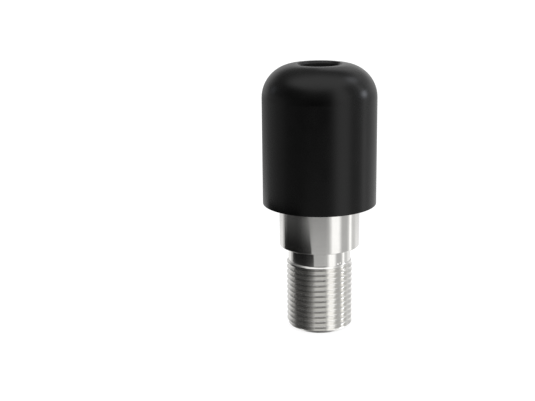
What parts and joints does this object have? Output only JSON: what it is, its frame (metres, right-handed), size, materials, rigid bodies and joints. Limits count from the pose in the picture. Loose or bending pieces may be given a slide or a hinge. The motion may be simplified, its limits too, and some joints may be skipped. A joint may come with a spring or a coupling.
{
  "type": "handlebar end slider",
  "caption": "Domed black plastic crash slider on a threaded aluminium insert, held by a socket head screw, for the end of a motorbike handlebar.",
  "frame": {"origin": "middle of the end face of the insert's thread, on which the part stands", "axes": "+Z along the common axis of all pieces, from the threaded end to the nose of the puck"},
  "size_m": [0.031, 0.031, 0.0731],
  "materials": {
    "puck": "turned, matte black acetal",
    "insert": "turned, bright",
    "screw": "plain bright steel"
  },
  "bodies": {
    "root": {"slider_puck": "puck", "threaded_insert": "insert", "cap_screw": "screw"}
  },
  "joints": []
}
